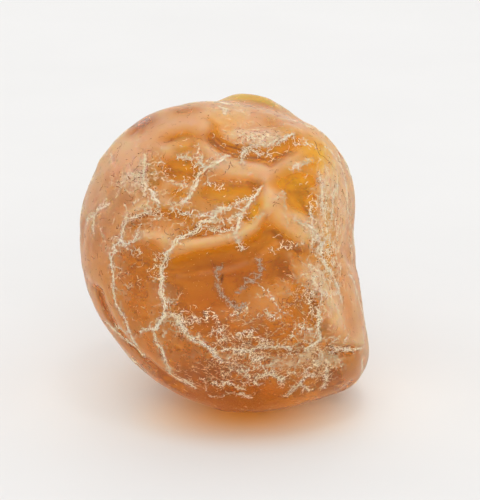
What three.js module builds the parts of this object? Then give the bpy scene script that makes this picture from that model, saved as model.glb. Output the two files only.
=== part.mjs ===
// A piece of raw amber: one water-worn nodule of fossil resin, a little taller
// than wide, lying on a small worn flat.
//
// It is shaped broad face on: x runs across the face, z up it, and the face
// looks along -y. Last of all it leans back onto its flat and its origin moves
// to the middle of its footprint. Millimetres throughout.
import * as THREE from "three";
import { mergeVertices } from "three/addons/utils/BufferGeometryUtils.js";

// Driving dimensions
const lean = THREE.MathUtils.degToRad(20); // how far the broad face leans back at rest
const faceDepth = 17.5; // from the middle of the nodule forward to the broad face
const backDepth = 17.0; // and to its back
const fullness = 2.35; // 2 is an ellipsoid, more is squarer in section
const restFlatDrop = 20.2; // from the middle down to the worn flat it lies on
const meshDetail = 21; // divisions along each edge of the starting icosahedron
const faceDetail = 0.3; // how far its corners are drawn towards the face, where the marks are finest

const FRONT = -1;
const BACK = 1;

// The outline of the broad face, anticlockwise from the right: [x, z].
const outline = new THREE.CatmullRomCurve3(
  [
    [19.4, 3.5],
    [19.5, 9.6],
    [18.6, 14.0],
    [16.8, 17.0],
    [13.4, 20.3],
    [9.3, 21.7],
    [4.8, 23.0],
    [-3.0, 24.0],
    [-9.8, 22.7],
    [-14.8, 19.7],
    [-19.0, 14.5],
    [-21.3, 8.4],
    [-21.6, 1.5],
    [-20.2, -5.2],
    [-17.2, -10.7],
    [-12.6, -15.9],
    [-6.5, -20.0],
    [0.6, -22.1],
    [7.5, -22.1],
    [14.2, -20.5],
    [19.6, -18.1],
    [21.6, -13.8],
    [20.8, -8.0],
    [20.1, -3.0],
  ].map(([x, z]) => new THREE.Vector3(x, 0, z)),
  true,
  "centripetal",
);

// Wear has worked the surface as a thumb works clay: along a path on the front
// or the back the body is hollowed (raise < 0) or stands proud (raise > 0),
// fading with distance from the path over the given radius.
const wear = [
  // The broad face, below its brow
  { name: "full belly", side: FRONT, path: [[-1, -11], [6, -11]], radius: 8, raise: 1.4 },
  {
    name: "great hollow",
    side: FRONT,
    path: [[-5.4, -2], [0, -1.3], [5, 0.3], [7.8, 3.2]],
    radius: 3.6,
    raise: -2.1,
  },
  { name: "left hollow", side: FRONT, path: [[-12.6, -0.4], [-9.8, -1.6]], radius: 2.6, raise: -1.2 },
  {
    name: "belly crevice",
    side: FRONT,
    path: [[4.5, -12.5], [11, -12.2], [16, -12.9]],
    radius: 1,
    raise: -0.6,
  },
  {
    name: "groove inside the left rim",
    side: FRONT,
    path: [[-18.6, -5], [-16.9, -8.4], [-14.2, -12], [-10.4, -15.4], [-6.4, -18]],
    radius: 1.3,
    raise: -0.8,
  },

  // The brow
  {
    name: "brow",
    side: FRONT,
    path: [[-7, 1.4], [-3.6, 2.6], [1.6, 4], [3.8, 5.3], [6.4, 8.2]],
    radius: 1.8,
    raise: 1.1,
  },
  { name: "brow's right arm", side: FRONT, path: [[7, 8.2], [10, 6.2], [12.6, 4]], radius: 1.7, raise: 0.8 },
  {
    name: "groove over it",
    side: FRONT,
    path: [[-5.6, 4.6], [-1, 5.4], [1.6, 6.4]],
    radius: 1.2,
    raise: -0.7,
  },
  { name: "knuckle", side: FRONT, path: [[-10.4, 3.7], [-8.4, 3.2]], radius: 1.7, raise: 0.9 },
  {
    name: "left fold",
    side: FRONT,
    path: [[-13.6, 6.8], [-9.4, 8.5], [-6.2, 8.2]],
    radius: 1.2,
    raise: 0.5,
  },
  {
    name: "crease under it",
    side: FRONT,
    path: [[-13.8, 4.9], [-9.4, 6.6], [-5.6, 6.4]],
    radius: 1.1,
    raise: -0.5,
  },

  // The slope above the brow
  { name: "shoulder dish", side: FRONT, path: [[-15.6, 12], [-14.4, 8.6]], radius: 2.6, raise: -0.7 },
  { name: "first thumbprint", side: FRONT, path: [[-7.8, 13.6], [-5.6, 13.2]], radius: 2.1, raise: -1.3 },
  { name: "its lip", side: FRONT, path: [[-8, 16.2], [-4.6, 16.3]], radius: 1, raise: 0.5 },
  { name: "second thumbprint", side: FRONT, path: [[-8.2, 18], [-5.4, 18.2]], radius: 1.4, raise: -0.7 },
  { name: "third thumbprint", side: FRONT, path: [[-2, 10.9], [3.2, 11]], radius: 1.9, raise: -1 },
  {
    name: "crescent",
    side: FRONT,
    path: [[-1.8, 18.2], [0.4, 16.6], [3.4, 15.7], [6.8, 15.1], [10.4, 17]],
    radius: 1.3,
    raise: -1.1,
  },
  { name: "crescent's lip", side: FRONT, path: [[2.4, 18], [6, 17.7], [9.6, 19.3]], radius: 1.1, raise: 0.7 },
  { name: "right eye", side: FRONT, path: [[10.2, 11.3], [12, 11.2]], radius: 1.3, raise: -0.8 },
  { name: "right window", side: FRONT, path: [[10.2, 8.9], [12, 7.9]], radius: 1.3, raise: -0.9 },

  // The right flank and the toe
  {
    name: "flank edge",
    side: FRONT,
    path: [[14.4, 16.4], [14.4, 9.3], [14.2, 3.4]],
    radius: 1.7,
    raise: 0.8,
  },
  { name: "flank flat", side: FRONT, path: [[18.4, 12], [18.6, 4]], radius: 3.2, raise: -0.5 },
  { name: "shoulder nick", side: FRONT, path: [[16.6, 18.1]], radius: 1.3, raise: -0.7 },
  {
    name: "belly ridge",
    side: FRONT,
    path: [[9.8, -0.8], [12, -2.4], [14, -4.6], [15.6, -8]],
    radius: 1.9,
    raise: 1,
  },
  { name: "dint beside it", side: FRONT, path: [[12.2, -5.6], [12.6, -6.8]], radius: 1.6, raise: -0.9 },
  { name: "toe ledge", side: FRONT, path: [[16.6, -11.3], [20, -11.2]], radius: 1.2, raise: 0.6 },
  { name: "toe pit", side: FRONT, path: [[15.8, -13], [18, -12.9]], radius: 1.6, raise: -1.1 },
  { name: "flank dish", side: BACK, path: [[18.2, 12.6], [18.7, 6]], radius: 3, raise: -1 },
  { name: "flank ridge", side: BACK, path: [[18.6, 1.6], [19.4, -5.4]], radius: 2.2, raise: 0.8 },
  { name: "flank dint", side: BACK, path: [[19.4, -11.4], [18, -13]], radius: 2.4, raise: -1.1 },

  // The left side and the top
  { name: "left dish", side: BACK, path: [[-19.6, 9], [-19.6, 2], [-18.2, -4]], radius: 3, raise: -1.2 },
  { name: "left ridge", side: BACK, path: [[-16.4, 11], [-16.6, 4]], radius: 2.2, raise: 0.8 },
  { name: "top dish", side: BACK, path: [[-11.4, 18.6], [-5.6, 21.2]], radius: 3.2, raise: -0.9 },
  { name: "back knob", side: BACK, path: [[2.4, 22.6], [5.2, 22.2], [7.2, 21.2]], radius: 3.8, raise: 2.7 },

  // The back
  {
    name: "saddle under the knob",
    side: BACK,
    path: [[-6, 15], [1, 13], [9, 12.4]],
    radius: 3.6,
    raise: -1.9,
  },
  { name: "hump", side: BACK, path: [[-7, 3], [-2, -3]], radius: 7.5, raise: 1.6 },
  { name: "ridge", side: BACK, path: [[4, 8], [8.5, 1], [10, -8]], radius: 2.6, raise: 1.5 },
  { name: "long hollow", side: BACK, path: [[13, 7], [15, -1], [14.6, -9]], radius: 3.4, raise: -1.6 },
  { name: "thumbprint", side: BACK, path: [[-12, 8], [-10, 10.5]], radius: 2.8, raise: -1.3 },
  { name: "print below it", side: BACK, path: [[-3.5, -10.5], [0.5, -9]], radius: 2.4, raise: -1.2 },
  { name: "scallop", side: BACK, path: [[-15.5, -1.5], [-12.5, -6.5], [-8, -9.5]], radius: 2, raise: -1 },
  {
    name: "scallop's rim",
    side: BACK,
    path: [[-13, 0.5], [-10, -3.6], [-5.6, -6.2]],
    radius: 1.5,
    raise: 0.7,
  },
  { name: "dint", side: BACK, path: [[2.6, 4.4]], radius: 2.2, raise: -1 },
];

// The outline again, as its distance from the middle all the way round
const rim = outline
  .getPoints(720)
  .map((point) => ({ angle: Math.atan2(point.z, point.x), radius: Math.hypot(point.x, point.z) }))
  .sort((a, b) => a.angle - b.angle);

function rimRadius(x, z) {
  const angle = Math.atan2(z, x);
  let after = rim.findIndex((point) => point.angle >= angle);
  if (after <= 0) after = rim.length - 1;
  const [a, b] = [rim[after - 1], rim[after]];
  const share = THREE.MathUtils.clamp((angle - a.angle) / (b.angle - a.angle || 1), 0, 1);
  return THREE.MathUtils.lerp(a.radius, b.radius, share);
}

// The body before wear: how far its surface is from the middle in a direction.
function bodyRadius(direction) {
  const across = Math.hypot(direction.x, direction.z);
  const depth = direction.y < 0 ? faceDepth : backDepth;
  const alongFace = across > 1e-9 ? across / rimRadius(direction.x, direction.z) : 0;
  const throughIt = Math.abs(direction.y) / depth;
  return (alongFace ** fullness + throughIt ** fullness) ** (-1 / fullness);
}

// The point of that body over (x, z) on the given side, closed in on by halves.
function onBody([x, z], side) {
  let near = 0;
  let far = Math.max(faceDepth, backDepth);
  for (let step = 0; step < 30; step++) {
    const middle = (near + far) / 2;
    const point = new THREE.Vector3(x, side * middle, z);
    const inside = point.length() < bodyRadius(point.clone().normalize());
    if (inside) near = middle;
    else far = middle;
  }
  return new THREE.Vector3(x, side * near, z);
}

const marks = wear.map(({ side, path, radius, raise }) => ({
  points: path.map((place) => onBody(place, side)),
  radius,
  raise,
}));

function distanceToPath(point, path) {
  if (path.length === 1) return point.distanceTo(path[0]);
  const nearest = new THREE.Vector3();
  let least = Infinity;
  for (let i = 1; i < path.length; i++) {
    new THREE.Line3(path[i - 1], path[i]).closestPointToPoint(point, true, nearest);
    least = Math.min(least, point.distanceTo(nearest));
  }
  return least;
}

// Which way is down at rest, seen before it leans back
const down = new THREE.Vector3(0, Math.sin(lean), -Math.cos(lean));

// The finished surface in a direction from the middle: body, wear, worn flat.
function surfacePoint(direction) {
  const point = direction.clone().multiplyScalar(bodyRadius(direction));
  let raised = 0;
  for (const { points, radius, raise } of marks) {
    const away = distanceToPath(point, points) / radius;
    raised += raise * Math.exp(-away * away);
  }
  point.addScaledVector(direction, raised);
  const drop = point.dot(down);
  if (drop > restFlatDrop) point.multiplyScalar(restFlatDrop / drop);
  return point;
}

function noduleGeometry() {
  const icosahedron = new THREE.IcosahedronGeometry(1, meshDetail);
  icosahedron.deleteAttribute("normal");
  icosahedron.deleteAttribute("uv");
  const geometry = mergeVertices(icosahedron, 1e-4);
  const positions = geometry.getAttribute("position");
  for (let i = 0; i < positions.count; i++) {
    const direction = new THREE.Vector3().fromBufferAttribute(positions, i).normalize();
    direction.y += FRONT * faceDetail;
    direction.normalize();
    positions.setXYZ(i, ...surfacePoint(direction).toArray());
  }
  geometry.rotateX(-lean);
  geometry.computeBoundingBox();
  const { min, max } = geometry.boundingBox;
  geometry.translate(-(min.x + max.x) / 2, -(min.y + max.y) / 2, -min.z);
  geometry.computeVertexNormals();
  return geometry;
}

const amber = new THREE.MeshStandardMaterial({ color: 0xc97a2e, roughness: 0.3, metalness: 0 });

const nodule = new THREE.Mesh(noduleGeometry(), amber);
nodule.name = "amber_nodule";

const part = new THREE.Group();
part.name = "raw_amber_piece";
part.add(nodule);

export default part;
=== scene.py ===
import math
import random

import bpy
import numpy as np
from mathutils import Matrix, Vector, noise
from mathutils.bvhtree import BVHTree
from mathutils.kdtree import KDTree


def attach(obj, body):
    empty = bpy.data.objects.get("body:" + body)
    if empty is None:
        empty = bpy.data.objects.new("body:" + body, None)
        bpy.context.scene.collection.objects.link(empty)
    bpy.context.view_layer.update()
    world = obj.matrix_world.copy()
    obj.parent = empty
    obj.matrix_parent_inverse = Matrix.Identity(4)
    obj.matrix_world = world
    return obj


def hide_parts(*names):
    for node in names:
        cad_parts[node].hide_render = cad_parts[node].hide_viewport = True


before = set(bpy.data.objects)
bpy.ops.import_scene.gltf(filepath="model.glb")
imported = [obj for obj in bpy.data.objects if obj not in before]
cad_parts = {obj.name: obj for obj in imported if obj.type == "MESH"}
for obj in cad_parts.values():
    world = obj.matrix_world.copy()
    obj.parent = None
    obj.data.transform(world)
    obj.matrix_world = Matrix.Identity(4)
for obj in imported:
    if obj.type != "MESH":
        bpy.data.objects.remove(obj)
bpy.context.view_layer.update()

# ---------------------------------------------------------------------------
# The amber: one lump of fossil resin, see-through under a worn skin. The sea
# rolled it smooth, so what stands proud is frosted and the dimples are glossy.
# Its own growth of cracks is cut in here; their crust is filled in further on.
# ---------------------------------------------------------------------------
MM = 0.001
LEAN = math.radians(20)
MIDDLE = Vector((0.03, 0.46, 20.2)) * MM  # the middle of the lump, above its footprint
FACE_RIGHT = Vector((1, 0, 0))
FACE_UP = Vector((0, math.sin(LEAN), math.cos(LEAN)))
INTO_FACE = Vector((0, math.cos(LEAN), -math.sin(LEAN)))

BALL_CUTS = 127  # divisions along each side of the cube that becomes the ball
FACE_SHARE = 0.25  # how far the ball's points crowd towards the broad face
EASE = 0.6  # how far each round of easing moves a value towards its neighbours' mean
FIRST_EASING = 9  # rounds that take the facets out of the rough shape

nodule_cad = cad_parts["amber_nodule"]
cad_points = [v.co.copy() for v in nodule_cad.data.vertices]
cad_faces = [tuple(p.vertices) for p in nodule_cad.data.polygons]
cad_surface = BVHTree.FromPolygons(cad_points, cad_faces)


def even_ball(cuts):
    """Unit directions and quads of a cube blown up into a ball, closed and evenly divided."""
    steps = np.tan(np.linspace(-1, 1, cuts + 1) * math.pi / 4)
    u, v = np.meshgrid(steps, steps, indexing="ij")
    one = np.ones_like(u)
    sheets = [(one, u, v), (-one, v, u), (v, one, u), (u, -one, v), (u, v, one), (v, u, -one)]
    points = np.concatenate([np.stack(s, -1).reshape(-1, 3) for s in sheets])
    corner = np.arange((cuts + 1) ** 2).reshape(cuts + 1, cuts + 1)
    quad = np.stack([corner[:-1, :-1], corner[1:, :-1], corner[1:, 1:], corner[:-1, 1:]], -1).reshape(-1, 4)
    quads = np.concatenate([quad + k * corner.size for k in range(6)])
    _, first, place = np.unique(np.round(points, 6), axis=0, return_index=True, return_inverse=True)
    return points[first], place.reshape(-1)[quads]


ball, quads = even_ball(BALL_CUTS)
ball = ball / np.linalg.norm(ball, axis=1)[:, None]
towards_face = -np.array(INTO_FACE)
ball = ball + towards_face * FACE_SHARE
ball = ball / np.linalg.norm(ball, axis=1)[:, None]

reach = np.empty(len(ball))
for i, way in enumerate(ball):
    reach[i] = cad_surface.ray_cast(MIDDLE, Vector(way))[3]

edges = np.unique(np.sort(np.concatenate([quads[:, [k, (k + 1) % 4]] for k in range(4)]), axis=1), axis=0)
edge_ends = np.concatenate([edges, edges[:, ::-1]])
neighbours = np.bincount(edge_ends[:, 0], minlength=len(ball))


def eased(values, rounds):
    """Each value moved towards its neighbours' mean, over and over."""
    for _ in range(rounds):
        mean = np.bincount(edge_ends[:, 0], values[edge_ends[:, 1]], len(ball)) / neighbours
        values = values + EASE * (mean - values)
    return values


reach = eased(reach, FIRST_EASING)


def lumpiness(point, size, seed):
    """Smooth noise from -1 to 1 with lumps about size mm across."""
    return noise.noise(point / (size * MM) + Vector((seed, seed * 1.7, -seed)))


# The knob behind the top edge is clear and golden and has hardly a crack
KNOB = MIDDLE + FACE_RIGHT * 3.6 * MM + FACE_UP * 25 * MM + INTO_FACE * 5 * MM
KNOB_RISE = 0.5  # mm that it swells over the rough shape
KNOB_SIZE = 3.5  # mm from its middle to where the swelling dies away
LUMPS = [(7.0, 0.16, 3), (3.1, 0.09, 11), (1.1, 0.03, 23)]  # size and height in mm, and a seed
swell = np.empty(len(ball))
for i, way in enumerate(ball):
    point = Vector(way) * reach[i]
    swell[i] = KNOB_RISE * math.exp(-(((MIDDLE + point - KNOB).length / (KNOB_SIZE * MM)) ** 2))
    swell[i] += sum(height * lumpiness(point, size, seed) for size, height, seed in LUMPS)
reach = reach + swell * MM


def on_face(x, z):
    """Where the broad face is, x mm right of and z mm up from its middle."""
    start = MIDDLE + FACE_RIGHT * (x * MM) + FACE_UP * (z * MM) - INTO_FACE * 0.05
    hit = cad_surface.ray_cast(start, INTO_FACE)
    if hit[0] is None:
        hit = cad_surface.find_nearest(MIDDLE + FACE_RIGHT * (x * MM) + FACE_UP * (z * MM))
    return hit[0]


# The finer wear: [reach mm, height mm, points as mm right of and up from the middle of the face].
# A height above nought stands proud, below nought is a groove.
MARKS = {
    "brow": [0.9, 0.25, (-7.2, 1.2), (-4.2, 2.5), (-0.5, 3.2), (1.9, 3.6), (4.2, 4.9), (6.2, 7.6)],
    "brow's rise": [0.8, 0.22, (2.4, 3.8), (4.3, 5.4), (6.0, 8.2), (5.9, 11.4)],
    "groove over it": [0.7, -0.32, (-5.4, 3.9), (-2.6, 4.1), (0.6, 4.7), (2.6, 6.0)],
    "undercut": [1.1, -0.1, (-7.0, -0.6), (-3.5, 0.7), (0.5, 1.4), (3.5, 2.2), (5.8, 4.4)],
    "knuckle": [1.3, 0.25, (-10.4, 3.3), (-8.6, 3.0)],
    "fold's lip": [0.7, 0.15, (-12.6, 7.4), (-9.3, 8.2), (-6.7, 7.8)],
    "fold": [0.7, -0.2, (-12.6, 6.5), (-9.3, 7.3), (-6.7, 6.8)],
    "crescent": [0.8, -0.3, (-1.4, 18.2), (0.1, 16.9), (3.3, 16.0), (6.7, 15.3), (10.4, 17.2)],
    "crescent's lip": [0.6, 0.3, (2.8, 17.0), (5.3, 17.1), (7.2, 17.6), (9.7, 18.8)],
    "eye's rim": [0.4, 0.18, (9.7, 10.4), (11.1, 10.0), (12.7, 10.3)],
    "ledge": [0.45, 0.25, (9.6, 13.7), (12.6, 14.7)],
    "print's lip": [0.5, 0.3, (-7.0, 15.3), (-4.2, 14.8)],
    "flank ridge": [0.7, 0.25, (14, 16), (13.9, 12), (13.7, 8), (13.6, 3.5)],
    "second ridge": [0.6, 0.15, (16, 14), (16.2, 8)],
    "left lip": [0.9, 0.3, (-18.6, -4.6), (-17.1, -7.8), (-15.5, -9.9), (-13.4, -12.4), (-9.8, -15.5)],
    "toe pit": [0.6, -0.7, (15.6, -12.7), (16.8, -12.9)],
    "toe ledge": [0.6, 0.3, (15.2, -11.7), (18.5, -11.7), (20.4, -11.7)],
    "belly crevice": [0.6, -0.3, (-0.5, -12.5), (4.8, -12.4), (10, -13)],
    "head crease": [0.6, -0.15, (-2.2, 20.8), (-1.3, 19.9), (0.6, 19.4)],
    "hip": [1.3, 0.12, (10.5, -2.2), (12.4, -3.4), (14.6, -6.0), (16.0, -9.0)],
    "belly dip": [1.6, -0.2, (-3, -9), (-1.5, -10.5)],
    "cheek dip": [2.2, -0.2, (-12.6, -5), (-12, -8)],
}
strokes = []
for size, height, *points in MARKS.values():
    strokes.append((size, height, [on_face(x, z) for x, z in points]))
chance = random.Random(7)


def any_way():
    """A direction that is as likely as any other."""
    return Vector((chance.gauss(0, 1), chance.gauss(0, 1), chance.gauss(0, 1))).normalized()


def forwardness(point):
    """How far a point is in front of the middle of the lump, in mm."""
    return -(point - MIDDLE).dot(INTO_FACE) / MM


FAR_MARKS = 80  # the same kind of wear on the sides and the back
FACE_BEGINS = 8  # mm in front of the middle; the broad face has its own marks from there on
for _ in range(FAR_MARKS):
    middle, normal, _, _ = cad_surface.ray_cast(MIDDLE, any_way())
    if forwardness(middle) > FACE_BEGINS:
        continue
    along = normal.cross(any_way()).normalized()
    bend = normal.cross(along)
    length = chance.uniform(1, 4.5) * MM
    bow = chance.uniform(-0.4, 0.4) * length
    points = [middle - along * length, middle + bend * bow, middle + along * length]
    points = [cad_surface.find_nearest(p)[0] for p in points]
    size = chance.uniform(0.6, 1.6)
    height = chance.choice((-1, -1, 1)) * chance.uniform(0.1, 0.3)
    strokes.append((size, height, points))

skin = np.array(MIDDLE) + ball * reach[:, None]
for size, height, points in strokes:
    gap = np.full(len(skin), 1.0)
    for a, b in zip(points, points[1:]):
        a, span = np.array(a), np.array(b) - np.array(a)
        share = np.clip(((skin - a) @ span) / (span @ span), 0, 1)
        gap = np.minimum(gap, np.linalg.norm(skin - a - share[:, None] * span, axis=1))
    reach = reach + height * MM * np.exp(-((gap / (size * MM)) ** 2))

# The prints and the arm's foot are worn soft: mm right of and up from the middle, and reach in mm.
WORN_SOFT = [(-5.9, 13.4, 3.2), (0.6, 9.9, 4.2), (10.2, 9.8, 4.0), (-5.2, 17, 2.4), (11.0, 2.6, 3.2)]
SOFT_EASING = 45  # rounds
soft = eased(reach, SOFT_EASING)
for x, z, size in WORN_SOFT:
    gap = np.linalg.norm(skin - np.array(on_face(x, z)), axis=1) / (size * MM)
    reach = reach + np.exp(-(gap**4)) * (soft - reach)

# The old cracks of the broad face: [breadth of the crust in mm, points as mm right of and up from
# the middle of the face].
CRACKS = {
    "left run": [0.34, (-9.3, 7.6), (-10.8, 7.3), (-12.4, 6.5), (-14.1, 6.1), (-14.8, 4.5), (-14.9, 2.9),
                 (-15.9, 2.2), (-16.4, 0.1), (-16.2, -2.3), (-15.7, -6.3), (-14.3, -8.4), (-12.7, -12.3)],
    "its fork": [0.26, (-14.9, 2.9), (-13.6, 2.6), (-11.7, 4.2)],
    "its foot": [0.24, (-12.6, -10.3), (-11.8, -9.8), (-10.1, -9.7), (-8.2, -7.0)],
    "great run": [0.5, (1.1, 8.3), (-0.1, 7.7), (-1.9, 6.1), (-3.1, 5.7), (-4.0, 4.6), (-5.4, 4.3),
                  (-6.7, 2.9), (-8.0, 1.4), (-9.2, -0.9), (-9.0, -3.4), (-8.7, -5.0), (-8.2, -7.0)],
    "great run's foot": [0.36, (-8.2, -7.0), (-10.1, -10.1), (-9.1, -12.6), (-8.4, -14.6), (-7.3, -16.7),
                         (-5.7, -17.1), (-3.9, -18.5)],
    "belly spur": [0.3, (-8.2, -7.0), (-6.6, -7.7), (-5.6, -9.9), (-4.4, -11.2), (-2.6, -11.8),
                   (-0.9, -13.7), (0.0, -14.2)],
    "peak run": [0.44, (5.3, 10.8), (4.2, 9.2), (2.6, 7.2), (1.6, 5.0), (1.6, 3.7), (2.9, 1.7)],
    "brow net one": [0.2, (1.6, 5.0), (0.7, 4.7), (-0.4, 4.4), (-1.7, 4.9), (-2.9, 5.6)],
    "brow net two": [0.18, (2.6, 7.2), (1.2, 6.4), (-0.3, 6.1), (-1.9, 6.1)],
    "brow net three": [0.22, (4.2, 9.2), (2.7, 9.0), (1.1, 8.3)],
    "upper run": [0.42, (0.9, 15.6), (-1.4, 14.0), (-3.1, 13.3), (-3.8, 12.0), (-4.4, 10.2),
                  (-5.0, 9.4), (-6.3, 8.8)],
    "upper fork": [0.26, (-3.5, 14.9), (-3.1, 13.3)],
    "shoulder run": [0.42, (-11.5, 15.8), (-11.6, 13.7), (-11.8, 12.1), (-10.7, 10.3), (-9.4, 8.5),
                     (-9.3, 7.6)],
    "shoulder fork": [0.24, (-14.3, 12.8), (-12.6, 12.6), (-11.8, 12.1)],
    "shelf": [0.2, (-7.9, 7.5), (-6.8, 7.8), (-6.4, 6.9), (-3.9, 6.8), (-1.9, 6.9), (-0.1, 7.7)],
    "left rim": [0.42, (-16.6, 8.8), (-18.9, 7.1), (-20.4, 6.0)],
    "left rim fork": [0.26, (-18.9, 7.1), (-19.2, 4.0)],
    "belly line": [0.3, (-0.5, -12.5), (2.3, -12.4), (3.5, -12.7), (4.8, -12.2), (7.1, -12.1),
                   (8.8, -12.2), (10.0, -13.0)],
    "toe run": [0.34, (13.4, -6.1), (13.7, -7.4), (13.5, -9.5), (13.7, -11.1), (12.8, -11.7),
                (11.2, -12.8)],
    "toe brow": [0.3, (15.4, -12.6), (18.2, -12.6), (20.2, -12.5)],
    "foot one": [0.26, (4.4, -16.8), (5.9, -16.3), (7.2, -16.1), (7.9, -17.0), (8.8, -16.8)],
    "foot two": [0.28, (8.7, -19.7), (9.6, -18.6), (10.6, -17.6), (11.9, -16.3)],
    "foot three": [0.24, (10.6, -17.6), (13.0, -18.6)],
    "foot four": [0.28, (14.4, -18.5), (14.8, -16.8), (14.6, -15.0)],
    "foot five": [0.24, (-1.9, -17.3), (-0.5, -17.9), (0.4, -17.1), (2.8, -18.3)],
    "foot six": [0.2, (1.2, -19.2), (2.7, -18.9), (4.1, -19.8)],
    "flank one": [0.26, (13.0, 4.4), (14.3, 0.4), (15.7, -2.0), (17.1, -6.0)],
    "flank two": [0.2, (12.3, 8.3), (12.7, 5.0), (12.6, 1.5)],
    "flank three": [0.22, (13.9, 12.8), (14.0, 9.8), (14.2, 7.4)],
    "flank four": [0.24, (16.5, 11.7), (15.8, 9.9), (15.5, 6.1)],
    "flank five": [0.2, (10.0, 6.3), (12.1, 5.1), (13.5, 4.2)],
    "crescent's lip": [0.4, (3.3, 16.8), (4.9, 16.9), (6.9, 17.5), (8.7, 18.1), (10.2, 18.9)],
    "print's chip": [0.3, (-7.0, 15.4), (-6.2, 15.0), (-5.2, 15.0), (-4.3, 14.8)],
    "ledge chip": [0.26, (9.5, 13.6), (10.6, 14.2), (11.4, 14.1), (12.6, 14.8)],
    "lip's fork": [0.26, (3.5, 16.5), (2.4, 15.6), (2.6, 14.1)],
}
runs = []  # every old crack: its points on the lump, and the breadth of its crust
for breadth, *points in CRACKS.values():
    runs.append(([on_face(x, z) for x, z in points], breadth * MM))


def turned(way, normal, angle):
    """A direction along the surface, turned about the surface's normal."""
    return way * math.cos(angle) + normal.cross(way) * math.sin(angle)


def flattened(way, normal):
    """A direction laid down along the surface."""
    return (way - normal * way.dot(normal)).normalized()


def cell(point):
    """Which little cube of space a point is in, so that cracks can tell when they meet."""
    return tuple(round(c / (0.9 * MM)) for c in point)


# The sides and the back cracked the same way, in runs that end where they meet an older one.
FAR_RUNS = 150  # tries; one that starts on the face, stays short or meets the knob comes to nothing
STRIDE = 0.5  # mm
SHARP_TURNS = 0.07  # the share of strides that turn sharply
face_runs = len(runs)
taken = {cell(p) for points, _ in runs for p in points}
for _ in range(FAR_RUNS):
    point, normal, _, _ = cad_surface.ray_cast(MIDDLE, any_way())
    if forwardness(point) > 7 or point.z < 1.5 * MM:  # on the broad face, or too near the flat
        continue
    heading = flattened(any_way(), normal)
    drift = chance.gauss(0, 0.025)
    path = [point]
    for step in range(chance.randint(10, 46)):
        turn = chance.gauss(drift, 0.16)
        if chance.random() < SHARP_TURNS:
            turn += chance.choice((-1, 1)) * chance.uniform(0.6, 1.1)
        heading = turned(heading, normal, turn)
        point, normal, _, _ = cad_surface.find_nearest(point + heading * (STRIDE * MM))
        heading = flattened(heading, normal)
        if forwardness(point) > 9 or point.z < 0.8 * MM:
            break
        path.append(point)
        if step > 3 and cell(point) in taken:
            break
    if len(path) < 6 or min((p - KNOB).length for p in path) < 6 * MM:
        continue
    taken.update(cell(p) for p in path[:-3])
    runs.append((path, chance.choice((0.22, 0.28, 0.36, 0.5)) * MM))


def close_steps(points, step):
    """The same line with a point every step."""
    out = [points[0]]
    for a, b in zip(points, points[1:]):
        count = max(1, round((b - a).length / step))
        out += [a.lerp(b, k / count) for k in range(1, count + 1)]
    return out


CUT_STEP = 0.3  # mm between the places where a crack is cut
CUT_DEPTH = 0.11  # mm
HALO = 1.1  # mm of skin to each side of a crack that it soils
crack_bed = [(p, breadth) for points, breadth in runs for p in close_steps(points, CUT_STEP * MM)]
crack_tree = KDTree(len(crack_bed))
for i, (point, _) in enumerate(crack_bed):
    crack_tree.insert(point, i)
crack_tree.balance()

# Small pits where grains fell out of the skin: place, breadth and depth in mm.
PITS = 170
pits = []
for _ in range(PITS):
    place = cad_surface.ray_cast(MIDDLE, any_way())[0]
    breadth = chance.uniform(0.35, 1.1)
    pits.append((place, breadth, breadth * chance.uniform(0.06, 0.16)))
pit_tree = KDTree(len(pits))
for i, (place, _, _) in enumerate(pits):
    pit_tree.insert(place, i)
pit_tree.balance()

sunk = np.zeros(len(ball))
nearness = np.zeros(len(ball))
for i, way in enumerate(ball):
    point = MIDDLE + Vector(way) * reach[i]
    _, place, gap = crack_tree.find(point)
    breadth = crack_bed[place][1]
    sunk[i] += CUT_DEPTH * math.exp(-((gap / (0.75 * breadth)) ** 2))
    nearness[i] = math.exp(-((gap / (HALO * MM)) ** 2))
    for _, place, gap in pit_tree.find_range(point, 1.4 * MM):
        sunk[i] += pits[place][2] * math.exp(-((gap / MM / pits[place][1]) ** 2) * 3)
reach = reach - sunk * MM

skin = np.array(MIDDLE) + ball * reach[:, None]
skin[:, 2] = np.maximum(skin[:, 2], 0.0)  # the worn flat stays flat

# Frosted where it stands proud, clear where it dips; what faces up or sideways gets the pale frost colour
# too, as painted sheen.
WIDE_EASING = 110  # rounds that level the dimples and the ridges
CLOSE_EASING = 20  # rounds that level the finer wear
proud = (reach - eased(reach, WIDE_EASING)) / MM + 0.8 * (reach - eased(reach, CLOSE_EASING)) / MM
corner = skin[quads]
facing = np.cross(corner[:, 2] - corner[:, 0], corner[:, 3] - corner[:, 1])
normals = np.stack([np.bincount(quads.ravel(), np.repeat(facing[:, k], 4), len(ball)) for k in range(3)], 1)
normals /= np.linalg.norm(normals, axis=1)[:, None]
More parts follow.
